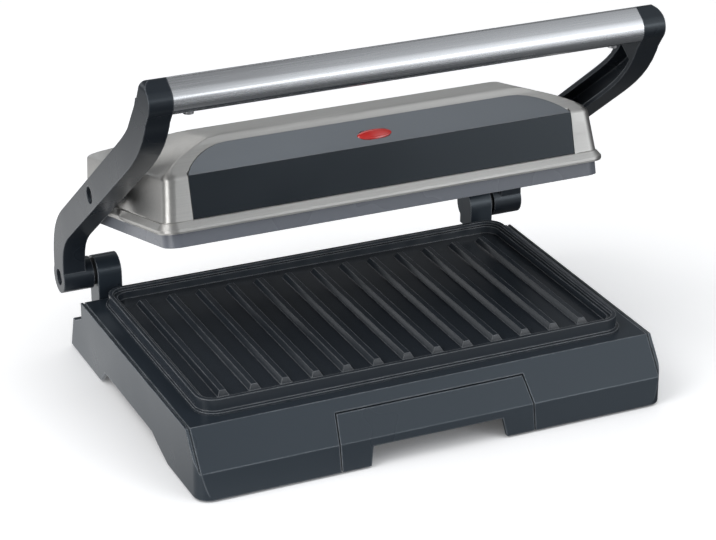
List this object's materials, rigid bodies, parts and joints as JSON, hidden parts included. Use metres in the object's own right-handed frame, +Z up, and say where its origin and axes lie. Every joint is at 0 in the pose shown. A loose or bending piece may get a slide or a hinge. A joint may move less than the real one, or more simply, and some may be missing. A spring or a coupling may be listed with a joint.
{
  "type": "electric indoor grill with lid",
  "caption": "Electric indoor contact grill: ribbed plates in a low base and in a floating steel lid carried by two curved arms with a tube handle, and a drip tray.",
  "frame": {"origin": "on the table surface, under the centre of the base's footprint", "axes": "+X to the right seen from the front, -Y to the front (tray and handle side), +Z up"},
  "size_m": [0.297, 0.21, 0.2223],
  "materials": {
    "housing_plastic": "satin",
    "arm_plastic": "satin",
    "black_plastic": "matte",
    "fascia_plastic": "satin",
    "band_plastic": "gloss",
    "nonstick_plate": "satin nonstick coating",
    "brushed_steel": "brushed",
    "handle_metal": "satin anodised",
    "sheet_metal": "bare",
    "element_sheath": "heat tinted",
    "zinc_steel": "plated",
    "bush_brass": "machined",
    "insulator": "matte",
    "wire_sleeve": "matte",
    "lens_red": "gloss",
    "rubber": "matte"
  },
  "bodies": {
    "base": {"base_housing": "housing_plastic", "bottom_cover": "black_plastic", "rubber_feet": "rubber", "bottom_cover_screws": "zinc_steel", "lower_grill_plate": "nonstick_plate", "lower_plate_screws": "zinc_steel", "lower_heating_element": "element_sheath", "lower_element_clips": "zinc_steel", "lower_heat_reflector": "sheet_metal", "lower_reflector_screws": "zinc_steel", "lower_thermostat": "insulator", "lower_thermal_fuse": "sheet_metal", "terminal_block": "insulator", "lower_wiring": "wire_sleeve", "cord_gland": "rubber", "left_hinge_post": "arm_plastic", "right_hinge_post": "arm_plastic", "hinge_post_screws": "zinc_steel", "hinge_bushes": "bush_brass", "hinge_washers": "black_plastic"},
    "tray": {"drip_tray": "housing_plastic"},
    "arms": {"left_arm": "arm_plastic", "right_arm": "arm_plastic", "hinge_pins": "zinc_steel", "handle_tube": "handle_metal", "handle_screws": "zinc_steel", "lid_pivots": "zinc_steel"},
    "lid": {"pivot_brackets": "zinc_steel", "lid_frame": "brushed_steel", "lid_cover": "brushed_steel", "lid_fascia": "fascia_plastic", "lid_front_band": "band_plastic", "lid_screws": "zinc_steel", "indicator_lens": "lens_red", "indicator_lamp": "lens_red", "lamp_holder": "insulator", "upper_grill_plate": "nonstick_plate", "upper_heating_element": "element_sheath", "upper_element_clips": "zinc_steel", "upper_heat_reflector": "sheet_metal", "upper_reflector_screws": "zinc_steel", "upper_thermostat": "insulator", "upper_thermal_fuse": "sheet_metal", "upper_wiring": "wire_sleeve"}
  },
  "joints": [
    {"name": "arms_hinge", "type": "hinge", "parent": "base", "child": "arms", "pos_m": [0, 0.095, 0.05], "axis": [-1, 0, 0], "range_deg": [-37.9, 62]},
    {"name": "lid_tilt", "type": "hinge", "parent": "arms", "child": "lid", "pos_m": [0, 0.0308, 0.1256], "axis": [-1, 0, 0], "range_deg": [-39, 23.6]},
    {"name": "tray_slide", "type": "slide", "parent": "base", "child": "tray", "axis": [0, -1, 0], "range_m": [0, 0.14]}
  ],
  "couplings": [
    {"joint": "lid_tilt", "follows": "arms_hinge", "ratio": -0.62}
  ]
}
